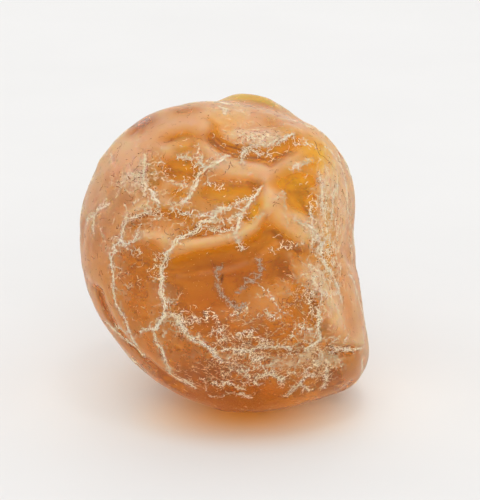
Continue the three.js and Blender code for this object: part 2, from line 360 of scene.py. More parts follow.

# Clear windows in the frosted skin of the broad face, places of painted sheen on the lit ridges, and
# places of painted shade: [mm right of and up from the middle of the face, half width and half height
# in mm, tilt in degrees, how clear or (below nought) how much painted sheen, how golden or (below
# nought) how much painted shade].
WINDOWS_SHEEN_AND_SHADE = {
    "hollow": [0.6, -1.2, 8.6, 3.2, 5, 1.0, -1.0],
    "hollow's foot": [-2.0, -5.6, 6.4, 4.0, 0, 0.7, -0.8],
    "under the arm": [8.4, 0.4, 3.0, 3.0, 40, 0.95, -0.4],
    "hip": [10.8, -6.6, 2.2, 3.2, 30, 0.7, 0.15],
    "left hollow": [-11.6, -1.8, 2.2, 4.0, -10, 0.5, -0.2],
    "first print": [-5.4, 17.2, 2.2, 1.6, 5, 0.95, 0.75],
    "second print": [-5.9, 13.2, 2.6, 1.5, 3, 1.0, 0.6],
    "beside the prints": [-10.2, 12.4, 1.5, 3.2, 0, 0.6, 0.4],
    "third print": [-6.6, 9.9, 1.5, 1.2, 0, 0.8, 0.5],
    "fourth print": [0.6, 9.9, 4.2, 1.7, 4, 0.95, 0.75],
    "corner": [4.3, 7.2, 2.4, 0.8, 58, 0.85, 0.9],
    "crescent, left": [-0.4, 17.0, 2.6, 0.9, -35, 0.9, -0.5],
    "crescent, middle": [3.8, 15.7, 3.2, 0.9, -4, 1.0, -0.3],
    "crescent, right": [8.0, 16.5, 2.4, 0.9, 45, 1.0, 0.5],
    "eye": [10.0, 11.5, 3.0, 1.5, 5, 0.95, 1.0],
    "window": [10.6, 8.8, 2.8, 2.1, -10, 1.0, 0.7],
    "right shoulder": [13.6, 16.0, 3.4, 3.4, -45, 0.6, 1.0],
    "top edge, left": [-12.0, 20.4, 2.8, 1.1, 32, 0.9, -0.35],
    "top edge, middle": [-5.8, 22.3, 2.6, 0.9, 12, 0.9, 0.4],
    "top edge, right": [8.0, 20.0, 4.0, 1.2, -35, 0.85, 0.6],
    "head crease": [-1.5, 19.6, 0.8, 1.4, 30, 0.7, 0.3],
    "foot": [2.0, -18.8, 10.0, 2.6, 0, 0.8, -1.0],
    "rib": [-10.4, 5.0, 2.0, 0.7, 5, 0.5, 0.0],
    "over the brow": [-2.0, 4.2, 4.6, 0.6, 8, 0.9, -0.6],
    "flank": [15.0, 3.0, 1.0, 8.0, 0, 0.45, 0.8],
    "belly": [4.5, -9.5, 7.0, 4.5, 0, 0.35, -0.6],
    "toe": [15.0, -16.0, 4.0, 2.4, 10, 0.5, -0.6],
    "right of the peak": [8.6, 12.6, 2.0, 1.2, 30, 0.5, 0.7],
    "arm": [9.8, 5.4, 4.0, 1.9, -35, -0.9, 0.45],
    "ridge": [2.6, 13.2, 4.4, 1.3, -5, -0.4, 0.0],
    "rise": [4.4, 5.4, 3.4, 0.8, 52, -0.2, 0.2],
    "peak": [6.4, 9.6, 0.9, 2.6, 8, -0.12, 0.2],
    "brow": [-1.4, 2.6, 5.6, 0.8, 10, -0.35, 0.0],
    "left shoulder": [-13.5, 14.0, 3.0, 4.0, 40, -0.35, 0.0],
    "head": [0.0, 21.0, 3.6, 1.6, 0, 0.15, 0.45],
    "right side": [16.5, 10.0, 2.0, 8.0, 5, -0.35, 0.3],
    "hip bone": [14.5, -5.0, 1.6, 5.0, 30, -0.3, 0.2],
}
right = (skin - np.array(MIDDLE)) @ np.array(FACE_RIGHT) / MM
up = (skin - np.array(MIDDLE)) @ np.array(FACE_UP) / MM
front = np.clip((skin - np.array(MIDDLE)) @ towards_face / MM / 3, 0, 1)
clear = np.zeros(len(ball))
painted_ridge_sheen = np.zeros(len(ball))
golden = np.zeros(len(ball))
painted_shade = np.zeros(len(ball))
for x, z, wide, high, tilt, much, gold_and_shade in WINDOWS_SHEEN_AND_SHADE.values():
    tilt = math.radians(tilt)
    along = ((right - x) * math.cos(tilt) + (up - z) * math.sin(tilt)) / wide
    aside = ((up - z) * math.cos(tilt) - (right - x) * math.sin(tilt)) / high
    inside = np.exp(-((along**2 + aside**2) ** 1.1)) * front
    clear = np.maximum(clear, inside * much)
    painted_ridge_sheen = np.maximum(painted_ridge_sheen, -inside * much)
    golden = np.maximum(golden, inside * gold_and_shade)
    painted_shade = np.maximum(painted_shade, -inside * gold_and_shade)
for i, point in enumerate(skin):  # windows in no order on the sides and the back
    point = Vector(point)
    clear[i] = max(clear[i], (1 - front[i]) * min(1, max(0, 1.3 * lumpiness(point, 7.0, 51) + 0.35)))
    golden[i] = max(golden[i], (1 - front[i]) * min(1, max(0, 1.2 * lumpiness(point, 13.0, 57) + 0.35)))
# Painted sheen and shade: paler on what faces up or sideways, towards the lamps and the white room, and
# less pale on what faces down.
from_above = np.clip(normals[:, 2], 0, 1)
from_below = np.clip(-normals[:, 2], 0, 1)
painted_top_sheen = 0.55 * from_above - 0.25 * from_below + 0.3 * normals[:, 0] ** 2
frost_and_sheen_mask = np.clip(0.2 + proud * 0.7 + painted_top_sheen + painted_ridge_sheen - 0.8 * clear, 0, 1)


def new_mesh(name, points, faces, smooth=True):
    """A piece made of these points and faces."""
    mesh = bpy.data.meshes.new(name)
    mesh.from_pydata([tuple(p) for p in points], [], [tuple(f) for f in faces])
    mesh.validate()
    mesh.polygons.foreach_set("use_smooth", [smooth] * len(mesh.polygons))
    piece = bpy.data.objects.new(name, mesh)
    bpy.context.scene.collection.objects.link(piece)
    return piece


def paint(piece, name, values):
    """A number at each point of the mesh, for its material to read."""
    layer = piece.data.attributes.new(name, "FLOAT", "POINT")
    layer.data.foreach_set("value", np.asarray(values, np.float32))


CREST = 1.2  # mm behind the middle of the lump, where the top edge ends and the knob begins
KNOB_REACH = 6.5  # mm from its middle that it is clear and golden
behind_crest = np.clip(((skin - np.array(MIDDLE)) @ -towards_face / MM - CREST) / CREST, 0, 1)
from_knob = ((skin - np.array(KNOB)) ** 2).sum(1) / (KNOB_REACH * MM) ** 2
on_knob = behind_crest * np.exp(-(from_knob**2))
golden = np.maximum(golden, on_knob)
frost_and_sheen_mask = frost_and_sheen_mask * (1 - 0.95 * on_knob)

# Where the resin is redder: mm right of and up from the middle of the face, reach in mm, how much.
RUDDY = [
    (-17, 3, 9, 0.8), (-12, -12, 9, 0.7), (15, -14, 7, 0.35),
    (-15, 13, 6, 0.5), (3, -13, 8, 0.8), (0, -19, 8, 0.8),
]
ruddy = np.zeros(len(ball))
for x, z, size, much in RUDDY:
    centre = np.array(on_face(x, z))
    ruddy += much * np.exp(-(((skin - centre) ** 2).sum(1) / (size * MM) ** 2))

amber = new_mesh("amber", skin, quads)
paint(amber, "frost_and_sheen_mask", frost_and_sheen_mask)
paint(amber, "golden", np.clip(golden, 0, 1))
paint(amber, "ruddy", np.clip(ruddy, 0, 1))
paint(amber, "painted_shade", painted_shade)
paint(amber, "knob", on_knob)
# Grime lies along the cracks and in a few pockets: mm right and up, and reach in mm.
POCKETS = [(13.2, 4.2, 1.2), (16.8, -12.4, 1.6), (3.5, -9.5, 2.0), (-14.3, 12.3, 1.0), (-5.2, 9.2, 1.0)]
for x, z, size in POCKETS:
    gap = np.linalg.norm(skin - np.array(on_face(x, z)), axis=1) / (size * MM)
    nearness = np.maximum(nearness, 1.3 * np.exp(-(gap**2)))
paint(amber, "crack_near", nearness)


def tone(hex_colour):
    """A paint-chip colour as the linear values a shader takes."""
    parts = [int(hex_colour[k : k + 2], 16) / 255 for k in (1, 3, 5)]
    return tuple(c / 12.92 if c <= 0.04045 else ((c + 0.055) / 1.055) ** 2.4 for c in parts) + (1.0,)


class Finish:
    """A material made of nodes."""

    def __init__(self, name):
        self.material = bpy.data.materials.new(name)
        self.material.use_nodes = True
        self.tree = self.material.node_tree
        self.tree.nodes.clear()
        self.out = self.tree.nodes.new("ShaderNodeOutputMaterial")
        self.surface = self.tree.nodes.new("ShaderNodeBsdfPrincipled")
        self.tree.links.new(self.surface.outputs["BSDF"], self.out.inputs["Surface"])
        self.place = self.tree.nodes.new("ShaderNodeTexCoord").outputs["Object"]

    def plug(self, socket, value):
        """A number or a colour, or another node's result, put into a socket."""
        if isinstance(value, bpy.types.NodeSocket):
            self.tree.links.new(value, socket)
        else:
            socket.default_value = value

    def set(self, **values):
        """The looks of the surface, by the names of its sockets."""
        for name, value in values.items():
            self.plug(self.surface.inputs[name.replace("_", " ")], value)

    def attribute(self, name):
        """The numbers painted on the mesh under that name."""
        node = self.tree.nodes.new("ShaderNodeAttribute")
        node.attribute_name = name
        return node.outputs["Fac"]

    def grain(self, size_mm, detail=3.0, roughness=0.55, warp=0.0):
        """Cloudy noise from 0 to 1, with clouds about size_mm across."""
        node = self.tree.nodes.new("ShaderNodeTexNoise")
        self.plug(node.inputs["Vector"], self.place)
        node.inputs["Scale"].default_value = 1000.0 / size_mm
        node.inputs["Detail"].default_value = detail
        node.inputs["Roughness"].default_value = roughness
        node.inputs["Distortion"].default_value = warp
        return node.outputs["Fac"]

    def ramp(self, value, *stops):
        """A value between the first two stops made one between the last two, and held at the ends."""
        node = self.tree.nodes.new("ShaderNodeMapRange")
        node.clamp = True
        self.plug(node.inputs["Value"], value)
        for name, number in zip(("From Min", "From Max", "To Min", "To Max"), stops):
            node.inputs[name].default_value = number
        return node.outputs["Result"]

    def maths(self, operation, a, b=0.0):
        node = self.tree.nodes.new("ShaderNodeMath")
        node.operation = operation
        self.plug(node.inputs[0], a)
        self.plug(node.inputs[1], b)
        return node.outputs[0]

    def blend(self, share, first, second):
        """The first colour, with that share of the second over it."""
        colour_a, colour_b, colour_out = 6, 7, 2  # the places of this node's colour sockets
        node = self.tree.nodes.new("ShaderNodeMix")
        node.data_type = "RGBA"
        self.plug(node.inputs["Factor"], share)
        self.plug(node.inputs[colour_a], first)
        self.plug(node.inputs[colour_b], second)
        return node.outputs[colour_out]

    def bump(self, height, depth_mm, strength=1.0, over=None):
        """Fine relief, over another one if there is one."""
        node = self.tree.nodes.new("ShaderNodeBump")
        node.inputs["Strength"].default_value = strength
        node.inputs["Distance"].default_value = depth_mm * MM
        self.plug(node.inputs["Height"], height)
        if over is not None:
            self.plug(node.inputs["Normal"], over)
        return node.outputs["Normal"]


HONEY, PALE_HONEY = tone("#E68C14"), tone("#EFA028")
GOLD, KNOB_GOLD = tone("#FFB822"), tone("#FFCC00")
RUDDY_RESIN, PAINTED_SHADE_RESIN, STREAK = tone("#CF7638"), tone("#C46404"), tone("#D07C1C")
CREAM_FROST_AND_SHEEN, PEACH_FROST_AND_SHEEN, GOLDEN_FROST_AND_SHEEN = tone("#FFDDB4"), tone("#FCCFAE"), tone("#F8C552")
OLIVE_GRIME, RUST_SPECK = tone("#A39468"), tone("#9A4A20")

resin = Finish("raw amber")
deep = resin.blend(resin.ramp(resin.grain(13, 2), 0.35, 0.65, 0, 1), HONEY, PALE_HONEY)
deep = resin.blend(resin.attribute("golden"), deep, GOLD)
deep = resin.blend(resin.attribute("ruddy"), deep, RUDDY_RESIN)
# Painted shade: a deeper orange laid in the hollows, the grooves, the underside and along the top left
# edge.
deep = resin.blend(resin.attribute("painted_shade"), deep, PAINTED_SHADE_RESIN)
deep = resin.blend(resin.attribute("knob"), deep, KNOB_GOLD)
streaks = resin.ramp(resin.grain(4.2, 4, 0.6, 1.2), 0.56, 0.72, 0, 0.35)
deep = resin.blend(streaks, deep, STREAK)
patches = resin.ramp(resin.grain(1.8, 5, 0.65), 0, 1, -0.22, 0.22)
# The pale colour stands for both the frosted skin and a painted sheen of the light from above.
frost_and_sheen_share = resin.ramp(resin.maths("ADD", resin.attribute("frost_and_sheen_mask"), patches), 0.12, 0.9, 0, 1)
frost_and_sheen_colour = resin.blend(resin.ramp(resin.grain(7, 2), 0.4, 0.6, 0, 1), CREAM_FROST_AND_SHEEN, PEACH_FROST_AND_SHEEN)
frost_and_sheen_colour = resin.blend(resin.maths("MULTIPLY", resin.attribute("golden"), 0.7), frost_and_sheen_colour, GOLDEN_FROST_AND_SHEEN)
colour = resin.blend(resin.maths("MULTIPLY", frost_and_sheen_share, 0.85), deep, frost_and_sheen_colour)
dirt = resin.ramp(resin.grain(0.7, 5, 0.7), 0.48, 0.68, 0, 0.6)
grime = resin.maths("MULTIPLY", resin.attribute("crack_near"), dirt)
colour = resin.blend(grime, colour, OLIVE_GRIME)
speckle = resin.ramp(resin.grain(0.35, 2, 0.5), 0.68, 0.76, 0, 0.6)
colour = resin.blend(speckle, colour, RUST_SPECK)
gloss = resin.ramp(frost_and_sheen_share, 0, 1, 0.25, 0.5)
clearness = resin.ramp(frost_and_sheen_share, 0, 1, 0.82, 0.5)
see_through = resin.maths("MULTIPLY", clearness, resin.ramp(resin.attribute("golden"), 0, 1, 1, 0.7))
fine = resin.bump(resin.grain(0.9, 5, 0.6), 0.05, 0.6)
fine = resin.bump(resin.grain(0.22, 3, 0.6), 0.012, 0.5, fine)
resin.set(
    Base_Color=colour,
    Roughness=gloss,
    IOR=1.54,
    Transmission_Weight=see_through,
    Specular_IOR_Level=0.25,
    Specular_Tint=(1.0, 0.78, 0.5, 1),
    Subsurface_Weight=1.0,
    Subsurface_Radius=(1.0, 0.5, 0.15),
    Subsurface_Scale=0.006,
    Sheen_Weight=0.2,
    Sheen_Roughness=0.3,
    Sheen_Tint=(1.0, 0.85, 0.7, 1),
    Normal=fine,
)
depths = resin.tree.nodes.new("ShaderNodeVolumeAbsorption")
depths.inputs["Color"].default_value = (0.97, 0.82, 0.1, 1)
depths.inputs["Density"].default_value = 42
resin.tree.links.new(depths.outputs["Volume"], resin.out.inputs["Volume"])
amber.data.materials.append(resin.material)
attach(amber, "root")
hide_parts("amber_nodule")

# ---------------------------------------------------------------------------
# The crust in the old cracks of the broad face: chalky weathered resin, cream to
# olive, that crumbled and filled each crack in ragged strands, with feathery
# spurs running out from it. It sits in the groove, a hair proud of the skin.
# ---------------------------------------------------------------------------
skin_surface = BVHTree.FromPolygons([Vector(p) for p in skin], [tuple(q) for q in quads])
SINK = 0.03  # mm that the edge of a ribbon of crust lies under the skin
CRUMB_SINK = 0.02  # mm
CRUMB_CORNERS = 6
STILL = 1e-9  # metres; a line that moves on by less has no direction there
CRACK_STEP = 0.13  # mm from point to point of a crusted crack
SPUR_STEP = 0.12  # mm from point to point of a spur
FORK_BREADTH = 0.14  # mm
BROAD_CRACK = 0.3  # mm; a broader one has three strands of crust, a finer one has one


def onto_skin(point):
    """The nearest place on the skin, and the way out of it there."""
    place, normal, _, _ = skin_surface.find_nearest(point)
    if normal.dot(place - MIDDLE) < 0:
        normal = -normal
    return place, normal


class Strips:
    """Thin ribbons laid along the skin, raised in the middle and with their edges sunk in it."""

    def __init__(self):
        self.points = []
        self.faces = []

    def lay(self, line, breadths, proud=0.22):
        """line holds (place, normal) pairs and breadths a width for each, in metres."""
        first = len(self.points)
        for k, ((place, normal), breadth) in enumerate(zip(line, breadths)):
            ahead = line[min(k + 1, len(line) - 1)][0] - line[max(k - 1, 0)][0]
            if ahead.length < STILL:
                ahead = normal.orthogonal()
            side = normal.cross(ahead).normalized() * (breadth / 2)
            sink = normal * (SINK * MM)
            self.points += [place - side - sink, place + normal * (breadth * proud), place + side - sink]
        for k in range(len(line) - 1):
            a = first + 3 * k
            self.faces += [(a, a + 3, a + 4, a + 1), (a + 1, a + 4, a + 5, a + 2)]

    def crumb(self, place, normal, size, luck):
        """A loose flake of crust: a low irregular cone."""
        first = len(self.points)
        across = normal.orthogonal().normalized()
        self.points.append(place + normal * size * 0.35)
        for k in range(CRUMB_CORNERS):
            way = turned(across, normal, 2 * math.pi * k / CRUMB_CORNERS)
            foot = place + way * size * luck.uniform(0.35, 0.75)
            self.points.append(foot - normal * CRUMB_SINK * MM)
        for k in range(CRUMB_CORNERS):
            self.faces.append((first, first + 1 + k, first + 1 + (k + 1) % CRUMB_CORNERS))


def ragged(points, luck, sway=0.3):
    """A crack's points close together, swaying as it ran, down on the skin."""
    shift = Vector((luck.uniform(0, 99), luck.uniform(0, 99), luck.uniform(0, 99)))
    line = []
    for point in close_steps(points, CRACK_STEP * MM):
        wide = noise.noise_vector(point / (1.5 * MM) + shift) * sway
        tight = noise.noise_vector(point / (0.4 * MM) + shift) * sway * 0.7
        line.append(onto_skin(point + (wide + tight) * MM))
    return line


def spur(place, normal, heading, length, breadth, luck, strips, curl=0.28):
    """A short feather of crust that thins to nothing; gives back its line and its last heading."""
    count = max(3, round(length / (SPUR_STEP * MM)))
    line = [(place, normal)]
    drift = luck.gauss(0, curl * 0.6)
    for _ in range(count):
        heading = turned(heading, normal, luck.gauss(drift, curl))
        place, normal = onto_skin(place + heading * SPUR_STEP * MM)
        heading = flattened(heading, normal)
        line.append((place, normal))
    widths = [breadth * (1 - k / count) ** 0.6 * luck.uniform(0.75, 1.25) for k in range(count + 1)]
    strips.lay(line, widths)
    return line, heading


def fork(place, normal, on, least, most, length, luck, strips):
    """A finer spur that turns off to one side of another by least to most radians."""
    turn = luck.choice((-1, 1)) * luck.uniform(least, most)
    heading = turned(flattened(on, normal), normal, turn)
    spur(place, normal, heading, length, FORK_BREADTH * MM, luck, strips)


def fill_crack(points, breadth, luck, strips, crumbs=4, spurs=0.75):
    """Crust all along a crack: ragged strands, short spurs to both sides, and crumbs in between."""
    line = ragged(points, luck)
    count = len(line)
    seed = luck.uniform(0, 500)
    sides = []
    for k, (place, normal) in enumerate(line):
        ahead = line[min(k + 1, count - 1)][0] - line[max(k - 1, 0)][0]
        sides.append(normal.cross(ahead).normalized() if ahead.length > STILL else normal.orthogonal())
    for strand in range(3 if breadth > BROAD_CRACK * MM else 1):
        wander = []
        widths = []
        for k, (place, normal) in enumerate(line):
            sway = noise.noise(Vector((k * 0.12, strand * 7.3, seed))) * (1.5 if strand else 0.3)
            thick = 0.75 + 1.1 * noise.noise(Vector((k * 0.5, strand * 3.1 + 40, seed)))
            ends = min(1.0, (k + 1) / 6, (count - k) / 6)
            wander.append(onto_skin(place + sides[k] * sway * breadth))
            widths.append(breadth * (0.55 if strand == 0 else 0.36) * max(0.12, thick) * ends)
        strips.lay(wander, widths)
    for k in range(1, count - 2):
        place, normal = line[k]
        if luck.random() < spurs:
            ahead = flattened(line[k + 1][0] - line[k - 1][0], normal)
            side = luck.choice((-1, 1))
            heading = turned(ahead, normal, side * math.radians(luck.uniform(35, 95)))
            root = onto_skin(place + sides[k] * side * breadth * 0.2)
            length = min(2.4, 0.2 + luck.expovariate(2.9)) * MM
            twig, on = spur(*root, heading, length, luck.uniform(0.12, 0.25) * MM, luck, strips)
            if length > 0.7 * MM:
                for at in (len(twig) // 3, len(twig) * 2 // 3):
                    fork(*twig[at], on, 0.7, 1.2, length * 0.45, luck, strips)
        for _ in range(luck.randint(0, crumbs)):
            place, normal = line[k]
            aside = luck.gauss(0, 0.6 * breadth + 0.12 * MM)
            place, normal = onto_skin(place + sides[k] * aside + (line[k + 1][0] - place) * luck.random())
            strips.crumb(place, normal, luck.uniform(0.08, 0.2) * MM, luck)


SPREAD = 1.2  # how much broader the crust is than its crack
LOOSE_CRUMBS = 1800  # left all over the skin
LUCK_SEED = 19
luck = random.Random(LUCK_SEED)
noise.seed_set(LUCK_SEED)  # so that the cracks sway the same way each time
crust_strips = Strips()
for points, breadth in runs[:face_runs]:
    fill_crack(points, breadth * SPREAD, luck, crust_strips)
for _ in range(LOOSE_CRUMBS):
    place, normal = onto_skin(cad_surface.ray_cast(MIDDLE, any_way())[0])
    crust_strips.crumb(place, normal, luck.uniform(0.05, 0.11) * MM, luck)

CREAM, WHITE_CREAM = tone("#F7E2B4"), tone("#FFF3D6")
OLIVE_CRUST, TAN_GRAINS = tone("#CDBE90"), tone("#E2B070")
crust = new_mesh("crust_of_the_face", crust_strips.points, crust_strips.faces)
chalk = Finish("chalky crust")
cream = chalk.blend(chalk.ramp(chalk.grain(1.6, 4), 0.35, 0.65, 0, 1), CREAM, WHITE_CREAM)
cream = chalk.blend(chalk.ramp(chalk.grain(3.5, 3), 0.54, 0.7, 0, 0.6), cream, OLIVE_CRUST)
cream = chalk.blend(chalk.ramp(chalk.grain(0.3, 4), 0.5, 0.75, 0, 0.5), cream, TAN_GRAINS)
chalk.set(
    Base_Color=cream,
    Roughness=chalk.ramp(chalk.grain(0.5, 3), 0.3, 0.7, 0.55, 0.85),
    Subsurface_Weight=0.3,
    Subsurface_Radius=(1.0, 0.7, 0.4),
    Subsurface_Scale=0.0004,
    Normal=chalk.bump(chalk.grain(0.12, 4, 0.7), 0.03, 0.9),
)
crust.data.materials.append(chalk.material)
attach(crust, "root")

# ---------------------------------------------------------------------------
# The crust on the sides and the back: the same chalky resin, which filled the
# old cracks there in the same way, but with fewer spurs and crumbs.
# ---------------------------------------------------------------------------
far_strips = Strips()
for points, breadth in runs[face_runs:]:
    fill_crack(points, breadth, luck, far_strips, crumbs=1, spurs=0.45)
far_crust = new_mesh("crust_behind", far_strips.points, far_strips.faces)
far_crust.data.materials.append(chalk.material)
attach(far_crust, "root")

# ---------------------------------------------------------------------------
# The crazing: where the skin dried most it broke into a mesh of hair cracks,
# thick on the belly, the toe and the flank and along the lip of the crescent.
# Each is a curl of pale crust no wider than a thread of silk.
# ---------------------------------------------------------------------------
# Where it is thick on the broad face: [mm right of and up from the middle, how far it spreads each
# way in mm, how many hair cracks].
CRAZED = [
    (4.0, -10.4, 8.6, 4.0, 330), (4.0, -14.6, 9.0, 2.0, 260), (13.6, -13.6, 4.2, 2.8, 520),
    (5.5, -12.4, 5.5, 1.2, 160), (4.6, 18.2, 4.0, 1.3, 260), (14.6, -1.0, 2.2, 6.0, 340),
    (14.8, 9.0, 2.0, 5.4, 260), (12.2, -3.0, 2.4, 3.6, 170), (-11.5, 12.5, 2.6, 3.6, 110),
    (-14.4, 11.6, 2.4, 1.2, 50), (-8.2, -8.0, 2.4, 2.4, 130), (2.4, 6.2, 2.8, 1.4, 30),
    (-3.0, 5.4, 4.0, 0.8, 20), (9.0, -5.0, 2.6, 2.4, 80), (-6.0, 10.0, 9.0, 7.0, 110),
    (0.0, -16.5, 9.0, 2.4, 130), (-15.0, 0.0, 4.0, 9.0, 170), (-11.0, 6.0, 4.0, 1.6, 50),
    (2.0, 22.0, 5.0, 1.5, 30), (15.6, 3.0, 1.8, 9.0, 320),
]
FAR_CRAZING = 700  # tries on the sides and the back, where it comes in patches
PATCH_SIZE = 6.0  # mm
EVEN = 0.36  # how far the hair cracks of the belly stray from level; 1 is any way at all
craze_strips = Strips()


def craze(start, strips, level):
    """One hair crack with a fork, about level across the lump or, at a level of 1, any way."""
    place, normal = onto_skin(start)
    sideways = flattened(FACE_RIGHT, normal)
    heading = turned(sideways, normal, luck.gauss(0, level * math.pi / 2))
    length = min(2.4, 0.3 + luck.expovariate(1.9)) * MM
    breadth = luck.uniform(0.08, 0.17) * MM
    twig, on = spur(place, normal, heading, length, breadth, luck, strips, curl=0.22)
    if length > 0.6 * MM:
        fork(*twig[len(twig) // 2], on, 0.6, 1.3, length * 0.5, luck, strips)


def somewhere_in(x, z, wide, high):
    """A spot on the broad face, about the middle of an oval and thinning out from it."""
    return on_face(luck.gauss(x, 0.62 * wide), luck.gauss(z, 0.62 * high))


whiter_spans = []  # where in the mesh the whiter crazing of the flank and the top begins and ends
for x, z, wide, high, count in CRAZED:
    on_flank = x >= 14
    first = len(craze_strips.points)
    for _ in range(count):
        craze(somewhere_in(x, z, wide, high), craze_strips, 1.0 if on_flank else EVEN)
    if on_flank or z > 0:
        whiter_spans.append((first, len(craze_strips.points)))
for _ in range(FAR_CRAZING):
    start = cad_surface.ray_cast(MIDDLE, any_way())[0]
    patchy = lumpiness(start, PATCH_SIZE, 77)
    if start.z > 1.0 * MM and forwardness(start) < 12 and patchy > -0.1:
        craze(start, craze_strips, 1.0)

crazing = new_mesh("crazing", craze_strips.points, craze_strips.faces)
whiter = np.zeros(len(craze_strips.points))
for first, last in whiter_spans:
    whiter[first:last] = 1
paint(crazing, "whiter", whiter)
PEACH_HAIR, PALE_HAIR = tone("#D8A872"), tone("#F2D6A8")
OLIVE_HAIR, WHITE_HAIR = tone("#C6BA92"), tone("#FFF0CC")
hairs = Finish("crazed skin")
pale = hairs.blend(hairs.ramp(hairs.grain(1.1, 4), 0.38, 0.62, 0, 1), PEACH_HAIR, PALE_HAIR)
pale = hairs.blend(hairs.ramp(hairs.grain(2.6, 3), 0.5, 0.66, 0, 0.7), pale, OLIVE_HAIR)
pale = hairs.blend(hairs.maths("MULTIPLY", hairs.attribute("whiter"), 0.75), pale, WHITE_HAIR)
hairs.set(
    Base_Color=pale,
    Roughness=hairs.ramp(hairs.grain(0.5, 3), 0.3, 0.7, 0.45, 0.75),
    Normal=hairs.bump(hairs.grain(0.15, 3, 0.6), 0.02, 0.6),
)
crazing.data.materials.append(hairs.material)
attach(crazing, "root")

# ---------------------------------------------------------------------------
# The lesser cracks: short ones that opened between the old cracks, thick on the
# belly and the toe. Chalky resin fills them too, in a single thin strand each.
# ---------------------------------------------------------------------------
SCATTERED = 80  # tries all over the broad face
# Where they crowd: mm right of and up from the middle, half width and half height in mm, how many.
CROWDED = [(3, -12.5, 9, 5.5, 34), (14, -14, 4, 3, 16), (12.5, -3, 2.5, 4, 12)]
LESSER_STEP = 0.4  # mm
lesser_strips = Strips()


def lesser_crack(x, z, level, longest):
    """A short crack of up to longest steps; at a level of 0 it starts level, at 2 any way at all."""
    place, normal = onto_skin(on_face(x, z))
    heading = turned(flattened(FACE_RIGHT, normal), normal, luck.uniform(-1, 1) * level * math.pi / 2)
    path = [place]
    for _ in range(luck.randint(4, longest)):
        heading = turned(heading, normal, luck.gauss(0, 0.22))
        place, normal = onto_skin(place + heading * LESSER_STEP * MM)
        heading = flattened(heading, normal)
        path.append(place)
    fill_crack(path, luck.uniform(0.12, 0.22) * MM, luck, lesser_strips, crumbs=1, spurs=0.4)


for _ in range(SCATTERED):
    x, z = luck.uniform(-18, 16), luck.uniform(-19, 20)
    in_hollow = -7 < x < 11 and -6 < z < 3
    if in_hollow or luck.random() < 0.5 and z > 5 and x > -8:
        continue  # the hollow has none and the prints have few
    lesser_crack(x, z, 2, 16)
for x, z, wide, high, count in CROWDED:
    for _ in range(count):
        lesser_crack(luck.uniform(x - wide, x + wide), luck.uniform(z - high, z + high), 0.45, 9)

lesser = new_mesh("lesser_cracks", lesser_strips.points, lesser_strips.faces)
lesser.data.materials.append(chalk.material)
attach(lesser, "root")

# ---------------------------------------------------------------------------
# The young cracks: closed hairlines in clear resin that have no crust yet.
# They show as thin red-brown lines, and lie all over the lump.
# ---------------------------------------------------------------------------
# Those of the top and its right, as mm right of and up from the middle of the face.
YOUNG = [
    [(10.1, 12.2), (8.8, 11.1), (8.6, 9.8)],
    [(6.6, 8.6), (8.2, 8.1)],
    [(12.9, 17.9), (13.9, 15.5), (15.9, 13.5)],
    [(-1.8, 18.4), (0.2, 16.9), (2.6, 16.2)],
]
YOUNG_BREADTH = 0.16  # mm
TAPER = 5  # steps over which each end thins out
HAIRLINES = 1000  # more of them, all over the lump
young_strips = Strips()
for points in YOUNG:
    line = ragged([on_face(x, z) for x, z in points], luck, sway=0.15)
    count = len(line)
    widths = [YOUNG_BREADTH * MM * min(1, (k + 1) / TAPER, (count - k) / TAPER) for k in range(count)]
    young_strips.lay(line, widths, proud=0.1)
for _ in range(HAIRLINES):
    place, normal = onto_skin(cad_surface.ray_cast(MIDDLE, any_way())[0])
    length = min(3, 0.3 + luck.expovariate(1.4)) * MM
    heading = flattened(any_way(), normal)
    spur(place, normal, heading, length, luck.uniform(0.09, 0.17) * MM, luck, young_strips, curl=0.3)
for x, z, wide, high, crazes in CRAZED:  # and others among the crazing, mostly on the belly
    for _ in range(crazes // (3 if x < 12 else 8)):
        place, normal = onto_skin(somewhere_in(x, z, wide, high))
        length = min(1.5, 0.3 + luck.expovariate(2.2)) * MM
        heading = flattened(any_way(), normal)
        spur(place, normal, heading, length, luck.uniform(0.1, 0.2) * MM, luck, young_strips)

RUST, PALE_RUST = tone("#84400F"), tone("#A8581F")
young = new_mesh("young_cracks", young_strips.points, young_strips.faces)
rust = Finish("red-brown hairline")
rust.set(
    Base_Color=rust.blend(rust.ramp(rust.grain(1.0, 3), 0.4, 0.6, 0, 1), RUST, PALE_RUST),
    Roughness=rust.ramp(rust.grain(0.5, 3), 0.3, 0.7, 0.35, 0.6),
)
young.data.materials.append(rust.material)
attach(young, "root")

# ---------------------------------------------------------------------------
# The dusty cracks: two that run deep in the great hollow, out of reach of the
# wear. A film of fine grey dust has settled in them where others have crust.
# ---------------------------------------------------------------------------
# Their points, as mm right of and up from the middle of the face.
DUSTY = [
    [(-0.1, -0.4), (-1.1, -1.0), (-0.9, -2.9), (-0.1, -4.6), (0.6, -5.7), (1.8, -6.7), (3.3, -5.7)],
    [(1.6, -4.3), (3.6, -2.6), (5.1, -2.0), (5.4, -0.1), (4.4, 0.7)],
]
DUSTY_BREADTH = 0.24  # mm
dusty_strips = Strips()
for points in DUSTY:
    fill_crack([on_face(x, z) for x, z in points], DUSTY_BREADTH * MM, luck, dusty_strips)

BROWN_DUST, GREY_DUST = tone("#B59A7E"), tone("#B9A893")
dusty = new_mesh("dusty_cracks", dusty_strips.points, dusty_strips.faces)
dust = Finish("grey dust")
dust.set(
    Base_Color=dust.blend(dust.ramp(dust.grain(0.8, 4), 0.4, 0.6, 0, 1), BROWN_DUST, GREY_DUST),
    Roughness=dust.ramp(dust.grain(0.4, 3), 0.3, 0.7, 0.6, 0.85),
    Normal=dust.bump(dust.grain(0.15, 3, 0.6), 0.02, 0.6),
)
dusty.data.materials.append(dust.material)
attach(dusty, "root")

